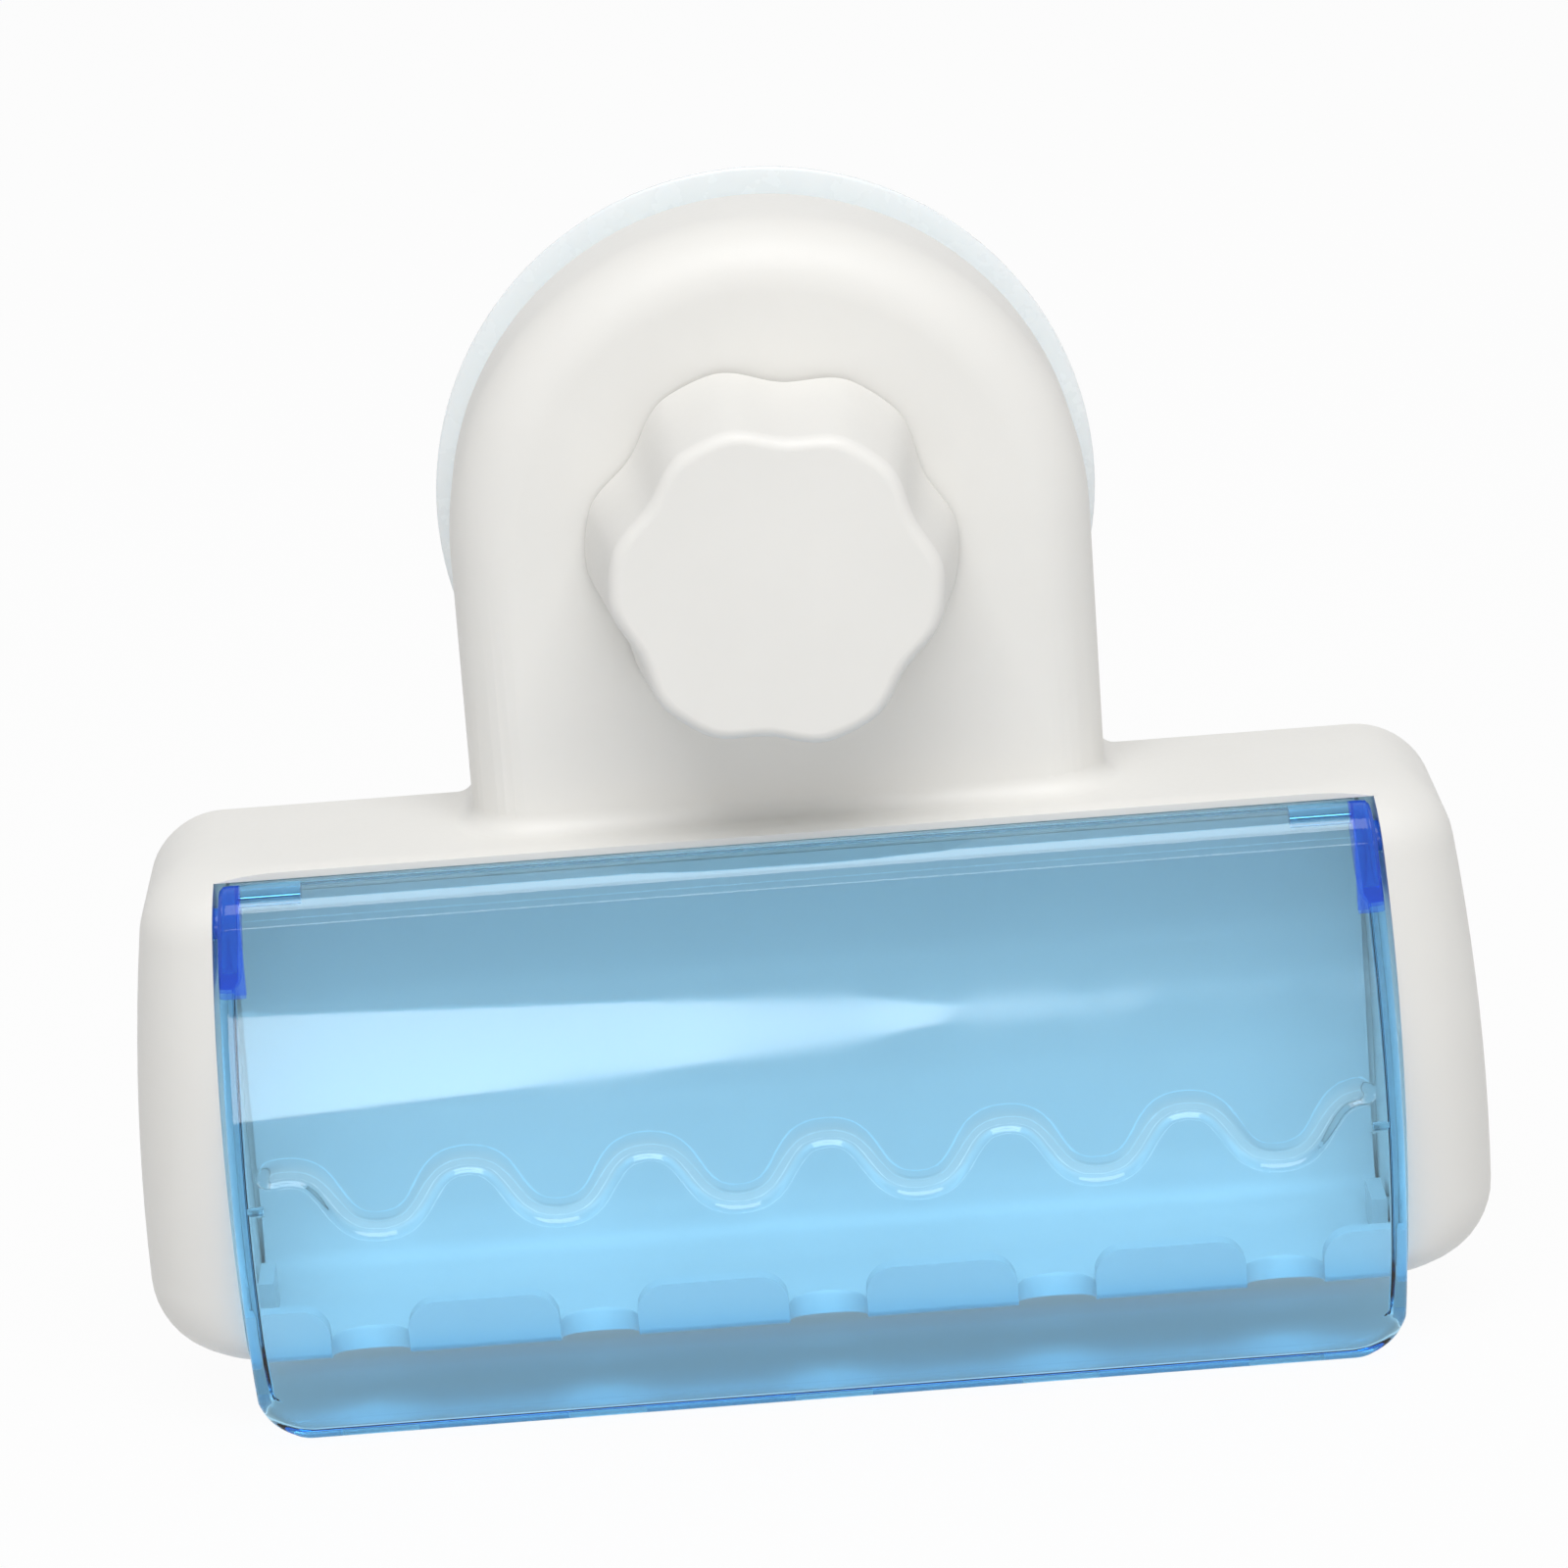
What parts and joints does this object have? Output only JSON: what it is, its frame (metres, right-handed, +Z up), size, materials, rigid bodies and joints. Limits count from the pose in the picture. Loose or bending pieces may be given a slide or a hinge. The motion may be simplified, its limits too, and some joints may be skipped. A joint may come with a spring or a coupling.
{
  "type": "toothbrush holder",
  "caption": "Wall toothbrush holder: arched white housing on a screw-down suction cup, with a slotted brush rack behind a clear blue flip-up cover.",
  "frame": {"origin": "centre of the suction cup's sealing face, on the wall plane", "axes": "+X to the right seen from the front, +Y into the wall, +Z up"},
  "size_m": [0.1802, 0.052, 0.1568],
  "materials": {
    "housing_white": "satin moulded white",
    "rack_white": "satin moulded white",
    "cover_blue": "clear blue, polished",
    "cup_clear": "translucent soft vinyl",
    "stud_white": "moulded",
    "disc_white": "moulded",
    "knob_white": "satin moulded white",
    "nut_brass": "turned"
  },
  "bodies": {
    "holder": {"housing": "housing_white", "brush_rack": "rack_white", "suction_cup": "cup_clear", "press_disc": "disc_white", "slip_washer": "disc_white"},
    "cover": {"flip_cover": "cover_blue"},
    "knob_set": {"knob": "knob_white", "knob_nut": "nut_brass"},
    "stud": {"cup_stud": "stud_white"}
  },
  "joints": [
    {"name": "cover_hinge", "type": "hinge", "parent": "holder", "child": "cover", "pos_m": [0, -0.0372, -0.0432], "axis": [-1, 0, 0], "range_deg": [0, 110]},
    {"name": "knob_turn", "type": "hinge", "parent": "holder", "child": "knob_set", "pos_m": [0, -0.03, 0], "axis": [0, 1, 0], "range_deg": [0, 330]},
    {"name": "stud_pull", "type": "slide", "parent": "holder", "child": "stud", "axis": [0, -1, 0], "range_m": [0, 0.00276], "deforming": ["suction_cup"]}
  ],
  "couplings": [
    {"joint": "stud_pull", "follows": "knob_turn", "m_per_rad": 0.00047746}
  ]
}
